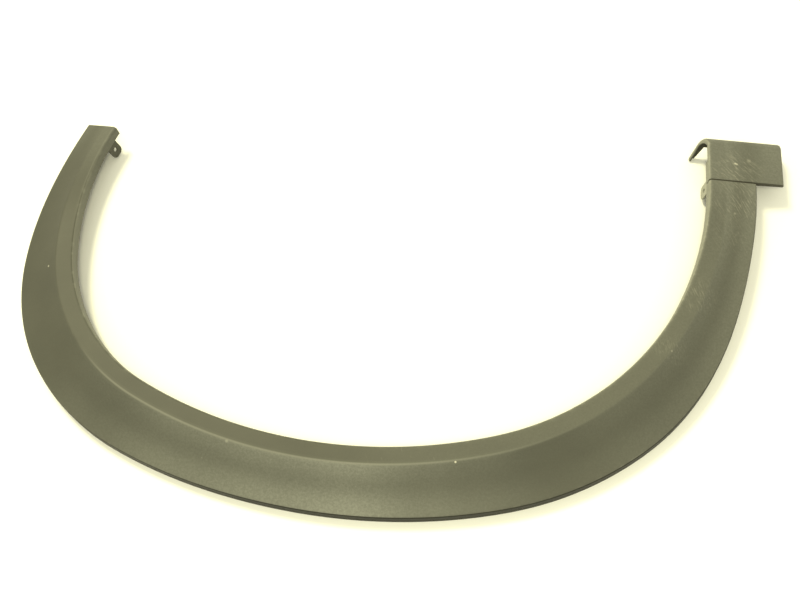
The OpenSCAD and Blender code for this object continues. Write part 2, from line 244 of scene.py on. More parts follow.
def band_length(shape):
    """Length of the inner edge."""
    return path_of(shape)[2][-1]


def middles(shape):
    """Distances of the middles of the tail-side corner, the crown and the foot-side corner."""
    starts = path_of(shape)[2]
    return (starts[1:4] + starts[2:5]) / 2


def band_width(shape, cut, s):
    """Width at distances s, eased between five given widths."""
    tail_corner, crown, foot_corner = middles(shape)
    starts = path_of(shape)[2]
    foot_leg = starts[5] - (starts[5] - starts[4]) / 3
    return eased([
        (0, cut.w_tail), (tail_corner, cut.w_tail_corner), (crown, cut.w_crown),
        (foot_corner, cut.w_foot_corner), (foot_leg, cut.w_foot),
    ], s)


def foot_slope(cut):
    """Fall of the foot's top per length outwards."""
    return cut.foot_drop / cut.foot_w


def foot_wall_height(cut):
    """Height of the outer wall where the band meets the foot's sloping top."""
    return cut.inner_h - foot_slope(cut) * cut.w_foot


def outer_height(shape, cut, s):
    """Height of the outer wall at distances s, eased between given heights."""
    tail_corner, _, foot_corner = middles(shape)
    return eased([
        (0, cut.outer_h_tail), (tail_corner, cut.outer_h_crown), (foot_corner, cut.outer_h_crown),
        (band_length(shape), foot_wall_height(cut)),
    ], s)


def crease_share(shape, cut, s):
    """Strength of the crease: 1 along the middle, easing to 0 at both ends."""
    return ease(s / cut.crease_fade) * ease((band_length(shape) - s) / cut.crease_fade)


def face_end(shape, cut, s):
    """Distance from the inner edge to the top of the drafted outer wall."""
    return band_width(shape, cut, s) - outer_height(shape, cut, s) * math.tan(cut.outer_draft)


def face_height(shape, cut, s, u):
    """Height of the face at distance u: a straight strip to the crease, a parabola rounding the crease,
    then a slope with a parabolic hollow."""
    outer, share = outer_height(shape, cut, s), crease_share(shape, cut, s)
    straight = (outer - cut.inner_h) * cut.crease_in / band_width(shape, cut, s)
    crease = cut.inner_h + straight * (1 - share) + cut.crease_rise * share
    run = face_end(shape, cut, s) - cut.crease_in
    t = (u - cut.crease_in) / run
    slope_in = (crease - cut.inner_h) / cut.crease_in
    slope_out = (outer - crease - 4 * cut.face_sag * share) / run
    strip = cut.inner_h + slope_in * u
    main = crease + (outer - crease) * t - 4 * cut.face_sag * share * t * (1 - t)
    q = np.clip((u - cut.crease_in + cut.crease_soft) / (2 * cut.crease_soft), 0, 1)
    hollow = np.where(t > 0, main - crease - slope_out * (u - cut.crease_in), 0)
    rounded = strip + (slope_out - slope_in) * cut.crease_soft * q ** 2 + hollow
    return np.where(q <= 0, strip, np.where(q >= 1, main, rounded))


def unit(v):
    """Vectors of length 1 along the last axis."""
    return v / np.linalg.norm(v, axis=-1, keepdims=True)


def fillet(a, b, c, radius, points):
    """Points of the circle of that radius that touches the lines b-a and b-c, from touch to touch: its centre
    plus the two touching radii, blended along the arc."""
    to_a, to_c = unit(a - b), unit(c - b)
    half = np.arccos(np.clip((to_a * to_c).sum(-1), -1, 1))[..., None] / 2
    centre = b + unit(to_a + to_c) * radius / np.sin(half)
    start = b + to_a * radius / np.tan(half) - centre
    end = b + to_c * radius / np.tan(half) - centre
    sweep = (math.pi - 2 * half)[..., None]
    k = np.linspace(0, 1, points)[:, None]
    return centre[..., None, :] + (
        start[..., None, :] * np.sin(sweep * (1 - k)) + end[..., None, :] * np.sin(sweep * k)
    ) / np.sin(sweep)


def line(a, b, spans):
    """Points from a up to but not b, in equal spans."""
    k = (np.arange(spans) / spans)[:, None]
    return a[..., None, :] + (b - a)[..., None, :] * k


def across_grid(cut, start, end):
    """Distances across the face: even to the tongue's width and on to the crease, close at the crease, then
    even to the share of the face."""
    before = cut.crease_in - cut.crease_soft
    k = np.linspace(0, 1, BAND_SPANS + 1)[1:-1]
    root = np.broadcast_to(cut.tongue_w, len(start))[:, None]
    strip = np.concatenate([(start[:, None] + root) / 2, root, root + (before - root) * k], 1)
    bead = cut.crease_in + cut.crease_soft * np.linspace(-1, 1, BEAD_POINTS)
    bead = np.broadcast_to(bead, (len(start), BEAD_POINTS))
    far = cut.crease_in + cut.crease_soft
    last = cut.crease_in + FACE_SHARE * (end[:, None] - cut.crease_in)
    face = far + (last - far) * np.linspace(0, 1, FACE_SPANS + 1)[1:]
    return np.concatenate([strip, bead, face], 1)


def outline(side_foot, side_top, over, heights, shoulder, rim, cut):
    """One visible outline per row: up the lip, over the face and down the outer wall."""
    first = np.stack([over[:, 0], heights[:, 0]], -1)
    lip = fillet(side_foot, side_top, first, cut.edge_r, LIP_POINTS)
    top = np.stack([over, heights], -1)
    bend = fillet(top[:, -1], shoulder, rim, cut.edge_r, SHOULDER_POINTS)
    wall = bend[:, -1:] + (rim[:, None] - bend[:, -1:]) * np.linspace(0, 1, WALL_SPANS + 1)[1:, None]
    return np.concatenate([line(side_foot, lip[:, 0], SIDE_SPANS), lip, top, bend, wall], 1)


def band_outline(shape, cut, s, lip, rim_z):
    """Outline of the band at distances s, as (u, z)."""
    nothing = np.zeros_like(s)
    high = nothing + cut.inner_h
    end, wall_top = face_end(shape, cut, s), outer_height(shape, cut, s)
    over = across_grid(cut, nothing + cut.edge_r, end)
    heights = face_height(shape, cut, s[:, None], over)
    rim = np.stack([band_width(shape, cut, s) - rim_z * math.tan(cut.outer_draft), nothing + rim_z], -1)
    return outline(
        np.stack([nothing, high - lip], -1), np.stack([nothing, high], -1), over, heights,
        np.stack([end, wall_top], -1), rim, cut,
    )


def foot_outline(cut, lip):
    """Outline across the foot's flat top, as (u, depth below the top), with as many points as the band's."""
    nothing = np.zeros_like(lip)
    end = nothing + cut.foot_w
    over = across_grid(cut, nothing + cut.edge_r, end)
    return outline(
        np.stack([nothing, -lip], -1), np.stack([nothing, nothing], -1), over, np.zeros_like(over),
        np.stack([end, nothing], -1), np.stack([end, nothing - cut.foot_return], -1), cut,
    )


def inset(points, depth):
    """Outlines moved to their right, each by its own depth, with mitred corners and level ends."""
    step = np.diff(points, axis=1)
    right = unit(np.stack([step[..., 1], -step[..., 0]], -1))
    before = np.concatenate([right[:, :1], right], 1)
    after = np.concatenate([right, right[:, -1:]], 1)
    depth = np.broadcast_to(depth, len(points))
    inner = points + depth[:, None, None] * (before + after) / (1 + (before * after).sum(-1, keepdims=True))
    inner[:, 0] = points[:, 0] + np.stack([depth / after[:, 0, 0], 0 * depth], -1)
    inner[:, -1] = points[:, -1] + np.stack([depth / before[:, -1, 0], 0 * depth], -1)
    return inner


def closed_wall(outside, inside, cut):
    """Closed sections of the wall between two outlines, with its free edges rounded."""
    def corner(a, b, c):
        return fillet(a, b, c, cut.rim_r, RIM_POINTS)
    return np.concatenate([
        corner(inside[:, 0], outside[:, 0], outside[:, 1]),
        outside[:, 1:-1],
        corner(outside[:, -2], outside[:, -1], inside[:, -1]),
        corner(outside[:, -1], inside[:, -1], inside[:, -2]),
        inside[:, -2:0:-1],
        corner(inside[:, 1], inside[:, 0], outside[:, 0]),
    ], 1)


def band_rings(shape, cut, s, lip, sunk=0.0, rim_z=0.0, thin=0.0):
    """Sections square to the inner edge, but for the slant that grows towards the foot."""
    s, lip, sunk, rim_z, thin = np.broadcast_arrays(np.asarray(s, float), lip, sunk, rim_z, thin)
    outside = band_outline(shape, cut, s, lip, rim_z)
    wall = closed_wall(inset(outside, sunk + thin), inset(outside, cut.wall - thin), cut)
    x, y, heading = (v[:, None] for v in edge_at(shape, s))
    slant = math.tan(cut.foot_slant) * ease(1 - (band_length(shape) - s) / cut.crease_fade)[:, None]
    u = wall[..., 0]
    return np.stack([
        x + u * (np.sin(heading) + slant * np.cos(heading)),
        y + u * (slant * np.sin(heading) - np.cos(heading)),
        wall[..., 1],
    ], -1)


def tongue_lengths(cut):
    """Lengths at the inner edge of the bend and of the tongue below it."""
    drop = cut.inner_h - cut.foot_bend_r * (1 - math.cos(cut.flange_turn)) - cut.tongue_gap
    return cut.foot_bend_r * cut.flange_turn, drop / math.sin(cut.flange_turn)


def flare(cut, tilt):
    """Flare of the inner edge, in step with the distance round the bend and down the tongue."""
    return cut.tongue_flare * cut.foot_bend_r * tilt / sum(tongue_lengths(cut))


def foot_rings(shape, cut, outside, inside, y, tilt):
    """Sections of the foot at distances y past the groove, turned down by tilt about the bend's axis."""
    wall = closed_wall(outside, inside, cut)
    x0, y0, _ = edge_at(shape, band_length(shape))
    y, tilt = np.asarray(y, float)[:, None], np.asarray(tilt, float)[:, None]
    u, depth = wall[..., 0], wall[..., 1]
    out = cut.foot_bend_r + depth
    return np.stack([
        x0 + u - flare(cut, tilt) * (1 - u / cut.foot_w),
        y0 + y + u * math.tan(cut.foot_slant) + out * np.sin(tilt),
        cut.inner_h - foot_slope(cut) * u - cut.foot_bend_r + out * np.cos(tilt),
    ], -1)


def shell_rings(shape, cut):
    """All sections of the shell in order, with each one's distance along it."""
    whole = band_length(shape)
    bare = cut.wall + cut.edge_r
    start = band_rings(shape, cut, [0.0], cut.lip_depth, thin=END_CHAMFER)
    even_to = whole - cut.groove_w - STEP_RUN
    even_s = np.linspace(END_CHAMFER, even_to, math.ceil(even_to / STEP) + 1)
    band = band_rings(shape, cut, even_s, cut.lip_depth)
    groove_s = whole - cut.groove_w + STEP_RUN * np.array([-0.5, 0.0, 0.5])
    groove_s = np.concatenate([groove_s, [whole - 2 * STEP_RUN, whole - STEP_RUN]])
    cut_z = foot_wall_height(cut) - cut.foot_return
    groove = band_rings(
        shape, cut, groove_s, cut.lip_depth, sunk=cut.groove_depth * GROOVE_SHARES,
        rim_z=np.array([0, 0, 0, 0, cut_z]),
    )
    near_y = np.append(NEAR_RUN, cut.wall)
    count = len(near_y)
    lips = np.full(count, cut.lip_depth)
    near_out = inset(foot_outline(cut, lips), NEAR_DEPTH)
    band_end = band_outline(shape, cut, np.full(count, whole), lips, np.full(count, cut_z))
    band_in = inset(band_end, cut.wall)
    band_in[..., 1] += foot_slope(cut) * band_in[..., 0] - cut.inner_h
    foot_start = foot_rings(shape, cut, near_out, band_in, near_y, np.zeros(count))
    flat_end = cut.foot_len - cut.foot_bend_r
    flat_y = np.concatenate([
        np.linspace(cut.wall + STEP_RUN, cut.foot_lip_len, FLAT_RINGS),
        np.linspace(cut.foot_lip_len + STEP_RUN, flat_end, FLAT_RINGS),
    ])
    bend_tilt = np.linspace(0, cut.flange_turn, BEND_RINGS)[1:]
    foot_y = np.concatenate([flat_y, np.full(len(bend_tilt), flat_end)])
    tilt = np.concatenate([np.zeros(len(flat_y)), bend_tilt])
    foot_lips = np.where(foot_y <= cut.foot_lip_len, cut.lip_depth, bare)
    foot_out = foot_outline(cut, foot_lips)
    foot = foot_rings(shape, cut, foot_out, inset(foot_out, cut.wall), foot_y, tilt)
    flange, share = flange_rings(cut, foot_out[-1:], foot[-1])
    rings = np.concatenate([start, band, groove, foot_start, foot, flange])
    along = np.concatenate([
        [0.0], even_s, groove_s, whole + near_y, whole + foot_y + cut.foot_bend_r * tilt,
        whole + flat_end + sum(tongue_lengths(cut)) * share,
    ])
    return rings, along


def flange_rings(cut, foot_out, last):
    """The bend's last ring drawn straight on: by the flange's depth along the foot, and down to the tongue's
    tip, flaring out, where it is nearer the inner edge than the tongue's width."""
    u = closed_wall(foot_out, inset(foot_out, cut.wall), cut)[0, :, 0]
    on_tongue = u < cut.tongue_w - SLACK
    run = np.where(on_tongue, (last[:, 2] - cut.tongue_gap) / math.sin(cut.flange_turn), cut.flange_len)
    out = np.where(on_tongue, cut.tongue_flare - flare(cut, cut.flange_turn), 0.0)
    way = np.stack([-out, run * math.cos(cut.flange_turn), -run * math.sin(cut.flange_turn)], -1)
    share = np.linspace(0, 1, FLANGE_RINGS)[1:]
    return last + way * share[:, None, None], share


def mesh_piece(name, vertices, faces, material, sharp=math.radians(38)):
    """A mesh object at the origin, smooth but for edges sharper than the given angle."""
    mesh = bpy.data.meshes.new(name)
    mesh.from_pydata(vertices.reshape(-1, 3), [], faces)
    mesh.polygons.foreach_set("use_smooth", np.ones(len(mesh.polygons), bool))
    mesh.set_sharp_from_angle(angle=sharp)
    mesh.validate()
    mesh.update()
    piece = bpy.data.objects.new(name, mesh)
    bpy.context.scene.collection.objects.link(piece)
    mesh.materials.append(material)
    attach(piece, "root")
    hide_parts("trim")
    return piece


def point_value(mesh, name, values):
    """Keeps one number per vertex for the material."""
    kept = mesh.attributes.new(name, "FLOAT", "POINT")
    kept.data.foreach_set("value", np.asarray(values, np.float32).ravel())


def ring_faces(rings, count):
    """Quads between neighbouring rings of count points, and quads across the wall at both ends."""
    j, i = np.meshgrid(np.arange(rings - 1), np.arange(count), indexing="ij")
    k = (i + 1) % count
    this, ahead = j * count, (j + 1) * count
    sides = np.stack([this + i, this + k, ahead + k, ahead + i], -1).reshape(-1, 4)
    e = np.arange(count // 2 - 1)
    first = np.stack([e, count - 1 - e, count - 2 - e, e + 1], -1)
    last = (rings - 1) * count + first[:, ::-1]
    return np.concatenate([sides, first, last]).tolist()


def shell_wear_and_light(shape, cut, rings, along):
    """Shares per point of each mark, real rubbing and weathering as well as painted light and shade: a share
    across the section times a share that eases from knot to knot along the part, given as (distance, share)."""
    lip = SIDE_SPANS + np.arange(LIP_POINTS)
    bead = lip[-1] + 1 + STRIP_POINTS + np.arange(BEAD_POINTS)
    shoulder = bead[-1] + 1 + FACE_SPANS + np.arange(SHOULDER_POINTS)
    line_of = np.zeros(SKIN_POINTS)
    # A wave from 0 over 1 back to 0, without its two zeros
    for part in (lip, bead, shoulder):
        line_of[part] = np.hanning(len(part) + 2)[1:-1]
    ring, crease, lip_side, wall, face, strip = np.zeros((6, rings.shape[1]))
    ring[RIM_POINTS:RIM_POINTS + SKIN_POINTS - 2] = line_of[1:-1]
    # On a closed section the visible outline starts after the first rounded edge
    bead_at, shoulder_at = RIM_POINTS - 1 + bead, RIM_POINTS - 1 + shoulder
    crease[bead_at] = line_of[bead]
    # Painted light from the floor on the lip's side towards the wheel opening
    lip_side[:RIM_POINTS + SIDE_SPANS + LIP_POINTS // 2] = 1
    # Painted shade on the outer wall, from the middle of the shoulder's rounding down to the rim
    wall[shoulder_at[SHOULDER_POINTS // 2]:RIM_POINTS + SKIN_POINTS] = 1
    # The hollow of the face, a quarter of the way over it, is about half as pale: painted shade in the hollow
    across = np.linspace(0, 1, FACE_SPANS + SHOULDER_POINTS)
    face[bead_at[-1] + 1:shoulder_at[-1] + 1] = 1 - 0.45 * np.exp(-((across - 0.26) / 0.2) ** 2)
    face[bead_at] = np.linspace(0, 1, BEAD_POINTS)
    strip[:bead_at[0]] = 1
    strip[bead_at] = 1 - face[bead_at]
    whole = band_length(shape)
    tail_corner, crown, foot_corner = middles(shape)
    # Painted highlight along the crease, strongest past the tail-side corner
    crease_part = eased([
        (0, 0), (tail_corner, 0.1), (tail_corner + 90 * MM, 1), (crown + 50 * MM, 0.8), (foot_corner, 0.1),
        (whole, 0),
    ], along)
    # How strongly the painted floor light on the lip shows along the part; the rubbed edges follow it too
    lip_part = eased([
        (0, 0), (tail_corner / 2, 0.65), (tail_corner, 0.6), (crown, 0.2), (foot_corner, 0.9), (whole + 1, 1),
    ], along)
    # Painted sheen and real bleaching on the main face, strongest at the crown
    face_sheen_and_bleach = eased([
        (0, 0.28), (70 * MM, 0), (150 * MM, 0), (tail_corner, 0.06), (tail_corner + 70 * MM, 0.25),
        (crown - 125 * MM, 0.62), (crown - 20 * MM, 0.88), (crown + 50 * MM, 1.08), (crown + 130 * MM, 0.55),
        (crown + 170 * MM, 0.36), (crown + 250 * MM, 0.12), (foot_corner, 0.3), (whole - 150 * MM, 0.46),
        (whole, 0.62), (whole + 90 * MM, 0.78),
    ], along)
    strip_sheen_and_bleach = eased([
        (0, 0.36), (120 * MM, 0), (crown, 0), (crown + 150 * MM, 0.14), (foot_corner, 0.22),
        (whole - 60 * MM, 0.35), (whole + 30 * MM, 0.6), (whole + 90 * MM, 0.7),
    ], along)
    # How strongly the outer wall's painted shade shows along the part
    wall_shade_part = eased([(0, 0.1), (tail_corner, 0.6), (crown, 1), (foot_corner, 0.9), (whole, 0.5)], along)
    return {
        "edge_wear": (ring - crease) * (0.3 + 0.7 * lip_part[:, None]),
        "crease_highlight": crease * crease_part[:, None],
        "lip_floor_light": lip_side * lip_part[:, None],
        "wall_shade": wall * wall_shade_part[:, None],
        "sheen_and_bleach": face * face_sheen_and_bleach[:, None] + strip * strip_sheen_and_bleach[:, None],
    }


def add_node(tree, kind, links=None, **settings):
    """Adds a node with its settings, and links or values for its inputs."""
    node = tree.nodes.new(kind)
    for key, value in settings.items():
        setattr(node, key, value)
    for key, value in (links or {}).items():
        socket = node.inputs[key]
        if isinstance(value, bpy.types.NodeSocket):
            tree.links.new(value, socket)
        else:
            socket.default_value = value
    return node


def noise(tree, where, size_mm, detail, roughness):
    """Fractal noise with lumps of the given size."""
    return add_node(tree, "ShaderNodeTexNoise", {
        "Vector": where, "Scale": 1 / (size_mm * MM), "Detail": detail, "Roughness": roughness,
    }).outputs["Fac"]


def share_of(tree, name):
    """The number that a piece keeps per vertex."""
    return add_node(tree, "ShaderNodeAttribute", attribute_name=name).outputs["Fac"]


def calc(tree, operation, a, b=0.0, c=0.0, clamp=False):
    """One sum with two or three numbers."""
    node = add_node(tree, "ShaderNodeMath", {0: a, 1: b, 2: c}, operation=operation, use_clamp=clamp)
    return node.outputs[0]


def ramp(tree, value, low, high):
    """0 below low, 1 above high, smooth between."""
    return add_node(tree, "ShaderNodeMapRange", {
        "Value": value, "From Min": low, "From Max": high,
    }, interpolation_type="SMOOTHSTEP").outputs[0]


def mixed(tree, share, a, b):
    """Colour a, going over to colour b by the share."""
    node = add_node(tree, "ShaderNodeMix", {"Factor": share}, data_type="RGBA")
    for socket, value in ((node.inputs[6], a), (node.inputs[7], b)):
        if isinstance(value, bpy.types.NodeSocket):
            tree.links.new(value, socket)
        else:
            socket.default_value = (*value, 1.0)
    return node.outputs[2]


def turned(tree, where, degrees, stretch):
    """Coordinates in which a pattern is stretched along a heading in plan."""
    return add_node(tree, "ShaderNodeMapping", {
        "Vector": where, "Rotation": (0, 0, math.radians(degrees)), "Scale": (stretch, 1, 1),
    }, vector_type="TEXTURE").outputs[0]


def near(tree, where, place_mm, radius_mm, soft=0.6):
    """1 round a place, falling to 0 across its radius."""
    gap = add_node(tree, "ShaderNodeVectorMath", {
        0: where, 1: tuple(v * MM for v in place_mm),
    }, operation="DISTANCE").outputs["Value"]
    radius = radius_mm * MM
    return calc(tree, "SUBTRACT", 1.0, ramp(tree, gap, radius * (1 - soft), radius * (1 + soft)))


# Scuffed patches as (place in mm, radius in mm, heading of the strokes in degrees, strength)
SCUFFS = (
    ((403, 203, 33), 26, -42, 1.0),
    ((402, 160, 33), 27, -60, 0.8),
    ((392, 110, 32), 24, -62, 0.35),
    ((352, 28, 34), 20, -73, 0.5),
    ((322, -38, 35), 16, -75, 0.4),
)
# Small light marks as (place in mm, radius in mm, strength)
SPECKS = (
    ((401.4, 213.4, 32.8), 1.2, 0.6),
    ((403.0, 212.7, 32.6), 1.3, 0.45),
    ((418.1, 219.9, 31.1), 2.2, 0.15),
    ((398.3, 143, 32.6), 1.4, 0.16),
    ((104.7, -188.5, 38), 1.0, 1.0),
    ((-140.3, -195.3, 37.9), 1.5, 0.2),
    ((-410.2, -8.4, 32.1), 1.1, 0.6),
    ((323.7, -40.9, 38.8), 1.1, 0.2),
)
# How strongly the crease's painted highlight, the lip's painted floor light, the scuffs and the darkening in
# the groove show
CREASE_HIGHLIGHT_SHOW, LIP_LIGHT_SHOW, SCUFF_SHOW, GROOVE_DARK_SHOW = 0.42, 0.5, 0.22, 0.85


def grained_polypropylene(finish):
    """Moulded polypropylene with a fine spark-eroded grain: an even, satin, slightly mottled surface,
    paler where it is weathered and rubbed. Painted on it are sheen on the main face, a highlight along the
    crease, floor light on the lip, and shade on the outer wall and in the face's hollow."""
    material = bpy.data.materials.new(PLASTIC)
    material.use_nodes = True
    tree = material.node_tree
    tree.nodes.clear()
    where = add_node(tree, "ShaderNodeTexCoord").outputs["Object"]
    # Weathering in clouds of about 90 mm, flow marks of about 14 mm
    clouds = noise(tree, where, 90, 3.0, 0.55)
    flow = noise(tree, turned(tree, where, 20, 2.5), 14, 3.0, 0.6)
    # The real grain is 0.3 to 0.5 mm; it is drawn at 1.3 mm so that it shows in the render
    grain = noise(tree, where, 1.3, 3.0, 0.65)
    pits = add_node(tree, "ShaderNodeTexVoronoi", {"Vector": where, "Scale": 1 / (1.1 * MM)})
    tone = calc(tree, "MULTIPLY_ADD", clouds, 0.9, calc(tree, "MULTIPLY_ADD", flow, 0.4, -0.15))
    tone = calc(tree, "MULTIPLY_ADD", grain, 0.7, calc(tree, "SUBTRACT", tone, 0.35), clamp=True)
    body = mixed(tree, tone, tuple(finish.base), tuple(finish.faded))
    # Paler patches of the main face and strip, mottled like the grain: partly real bleaching, partly painted
    # sheen
    weathered = share_of(tree, "sheen_and_bleach")
    mottle = ramp(tree, noise(tree, where, 2.4, 3.0, 0.7), 0.3, 0.75)
    weathered = calc(tree, "MULTIPLY", weathered, calc(tree, "MULTIPLY_ADD", mottle, 0.36, 0.6))
    body = mixed(tree, weathered, body, tuple(finish.sheen_and_bleach))
    # Rubbed edges, broken up by noise of 9 mm, plus the painted highlight along the crease and the painted
    # floor light on the lip
    paling = share_of(tree, "edge_wear")
    crease = share_of(tree, "crease_highlight")
    broken = ramp(tree, noise(tree, where, 9, 4.0, 0.6), 0.45, 0.75)
    wear_and_light = calc(tree, "MULTIPLY", paling, calc(tree, "MULTIPLY_ADD", broken, 0.35, 0.06))
    wear_and_light = calc(tree, "ADD", wear_and_light, calc(tree, "MULTIPLY", crease, CREASE_HIGHLIGHT_SHOW))
    wear_and_light = calc(tree, "MULTIPLY_ADD", share_of(tree, "lip_floor_light"), LIP_LIGHT_SHOW, wear_and_light, clamp=True)
    body = mixed(tree, wear_and_light, body, tuple(finish.worn_and_lit))
    # Painted shade: the outer wall, which faces away from the lamps, is painted near black
    body = mixed(tree, share_of(tree, "wall_shade"), body, tuple(finish.wall_shade))
    # Scuffs: strokes about 1 mm wide and 10 mm long, inside the patches
    scuffed = 0.0
    for place, radius, heading, strength in SCUFFS:
        strokes = ramp(tree, noise(tree, turned(tree, where, heading, 9), 1.4, 3.0, 0.6), 0.48, 0.72)
        patch = calc(tree, "MULTIPLY", near(tree, where, place, radius), strength)
        scuffed = calc(tree, "MAXIMUM", calc(tree, "MULTIPLY", patch, strokes), scuffed)
    # Stray hairline scratches all over, far apart
    stray = noise(tree, turned(tree, where, -58, 30), 1.6, 1.0, 0.5)
    spread = ramp(tree, noise(tree, where, 70, 1.0, 0.5), 0.55, 0.7)
    stray = calc(tree, "MULTIPLY", ramp(tree, stray, 0.69, 0.78), calc(tree, "MULTIPLY", spread, 0.35))
    scuffed = calc(tree, "MAXIMUM", scuffed, stray)
    body = mixed(tree, calc(tree, "MULTIPLY", scuffed, SCUFF_SHOW), body, tuple(finish.scuff))
    specks = 0.0
    for place, radius, strength in SPECKS:
        speck = calc(tree, "MULTIPLY", near(tree, where, place, radius), strength)
        specks = calc(tree, "MAXIMUM", specks, speck)
    body = mixed(tree, specks, body, tuple(finish.scuff))
    # Darker in the groove
    groove_darkening = calc(tree, "MULTIPLY", share_of(tree, "groove"), GROOVE_DARK_SHOW)
    body = mixed(tree, groove_darkening, body, tuple(finish.groove_dark))
    rough = calc(tree, "MULTIPLY_ADD", scuffed, 0.1, calc(tree, "MULTIPLY_ADD", grain, 0.12, 0.46))
    relief = calc(tree, "MULTIPLY_ADD", scuffed, -0.6, grain)
    relief = calc(tree, "MULTIPLY_ADD", pits.outputs["Distance"], 0.5, relief)
    bump = add_node(tree, "ShaderNodeBump", {"Height": relief, "Strength": 0.35, "Distance": 0.12 * MM})
    shader = add_node(tree, "ShaderNodeBsdfPrincipled", {
        "Base Color": body, "Roughness": rough, "Normal": bump.outputs[0], "IOR": 1.49,
        "Specular IOR Level": 0.2,
    })
    add_node(tree, "ShaderNodeOutputMaterial", {"Surface": shader.outputs[0]})
    return material


def sizes(scene):
    """Path, section and fixings."""
    return scene.trim_path, scene.trim_section, scene.trim_fixings


def trim_material():
    """The plastic, made once for all pieces."""
    return bpy.data.materials.get(PLASTIC) or grained_polypropylene(bpy.context.scene.trim_finish)


class TRIM_OT_shell(bpy.types.Operator):
    """Builds the band, the foot and the far flange as one closed wall"""
    bl_idname = "trim.shell"
    bl_label = "Band and foot"

    def execute(self, context):
        shape, cut, _ = sizes(context.scene)
        rings, along = shell_rings(shape, cut)
        piece = mesh_piece("trim_shell", rings, ring_faces(*rings.shape[:2]), trim_material())
        for name, values in shell_wear_and_light(shape, cut, rings, along).items():
            point_value(piece.data, name, values)
        whole = band_length(shape)
        # The groove and the step down into it
        in_groove = (along > whole - cut.groove_w - 0.3 * MM) & (along < whole + 0.1 * MM)
        point_value(piece.data, "groove", np.broadcast_to(in_groove[:, None], rings.shape[:2]))
        return {"FINISHED"}


def local_frame(shape, s):
    """Matrix with X along the edge, -Y across the band and Z up."""
    x, y, heading = (float(v) for v in edge_at(shape, s))
    return Matrix.Translation((x, y, 0)) @ Matrix.Rotation(heading, 4, "Z")


def moved(points, matrix):
    """Points carried by a 4x4 matrix."""
    m = np.array(matrix)
    return points @ m[:3, :3].T + m[:3, 3]


def ear_mesh(fix, cut):
    """Plate whose edge is the first crossing of a ray from the hole with the tab's outline, and whose section
    round the hole is a bevelled rectangle carried round it."""
    half, hole_z = fix.ear_w / 2, -fix.ear_hole_down
    theta = np.arange(EAR_TURNS) * 2 * math.pi / EAR_TURNS
    way = np.stack([np.cos(theta), np.sin(theta)], -1)
    quarter = np.linspace(0, math.pi / 2, CORNER_POINTS)
    low = fix.ear_corner_r * np.stack([np.cos(quarter), -np.sin(quarter)], -1)
    low += (half - fix.ear_corner_r, fix.ear_corner_r - fix.ear_drop - hole_z)
    tab = np.concatenate([low, low[::-1] * (-1, 1), [[-half, cut.wall - hole_z], [half, cut.wall - hole_z]]])
    a, b = tab, np.roll(tab, -1, 0)
    edge = b - a
    cross = way[:, None, 0] * edge[None, :, 1] - way[:, None, 1] * edge[None, :, 0]
    cross = np.where(np.abs(cross) < TINY, TINY, cross)
    far = (a[None, :, 0] * edge[None, :, 1] - a[None, :, 1] * edge[None, :, 0]) / cross
    at = (a[None, :, 0] * way[:, None, 1] - a[None, :, 1] * way[:, None, 0]) / cross
    hit = np.where((far > 0) & (at >= -SLACK) & (at <= 1 + SLACK), far, np.inf).min(1)
    hole, bevel, t = fix.ear_hole_d / 2, EAR_BEVEL, fix.ear_t
    at_hole, at_bevel = np.full_like(hit, hole), np.full_like(hit, hole + bevel)
    radii = np.stack([at_hole, at_hole, at_bevel, hit - bevel, hit, hit, hit - bevel, at_bevel], 1)
    depth = np.array([t - bevel, bevel, 0, 0, bevel, t - bevel, t, t])
    flat = way[:, None] * radii[..., None]
    points = np.stack([flat[..., 0], flat[..., 1] + hole_z, np.broadcast_to(depth, radii.shape)], -1)
    count = radii.shape[1]
    j, i = np.meshgrid(np.arange(EAR_TURNS), np.arange(count), indexing="ij")
    this, ahead, k = j * count, (j + 1) % EAR_TURNS * count, (i + 1) % count
    faces = np.stack([this + i, ahead + i, ahead + k, this + k], -1).reshape(-1, 4)
    return points.reshape(-1, 3), faces


class TRIM_OT_ears(bpy.types.Operator):
    """Builds the two screw ears that hang from the lip"""
    bl_idname = "trim.ears"
    bl_label = "Screw ears"

    def execute(self, context):
        shape, cut, fix = sizes(context.scene)
        points, faces = ear_mesh(fix, cut)
        tail_s = fix.tail_ear_from + fix.ear_w / 2
        foot_s = band_length(shape) - fix.foot_ear_back
        # The foot ear gets the lip's painted floor light in full, the tail ear none
        ears = (("tail_ear", tail_s, fix.tail_ear_lean, 0.0), ("foot_ear", foot_s, fix.foot_ear_lean, 2.0))
        for name, s, lean, paling in ears:
            hang = (
                local_frame(shape, s) @ Matrix.Translation((0, -BURY, cut.inner_h - cut.lip_depth))
                @ Matrix.Rotation(math.pi / 2 + lean, 4, "X")
            )
            piece = mesh_piece(name, moved(points, hang), faces.tolist(), trim_material())
            point_value(piece.data, "lip_floor_light", np.full(len(points), paling))
        return {"FINISHED"}


def prism(outline_points, low, high):
    """Closed prism over a flat counter-clockwise outline, from height low to high."""
    n = len(outline_points)
    bottom = np.column_stack([outline_points, np.broadcast_to(low, n)])
    top = np.column_stack([outline_points, np.broadcast_to(high, n)])
    i = np.arange(n)
    k = (i + 1) % n
    sides = np.stack([i, k, n + k, n + i], -1).tolist()
    return np.concatenate([bottom, top]), sides + [list(range(n - 1, -1, -1)), list(range(n, 2 * n))]


def joined(parts):
    """One list of points and faces from several."""
    points, faces, base = [], [], 0
    for p, f in parts:
        points.append(p)
        faces += [[base + v for v in face] for face in f]
        base += len(p)
    return np.concatenate(points), faces


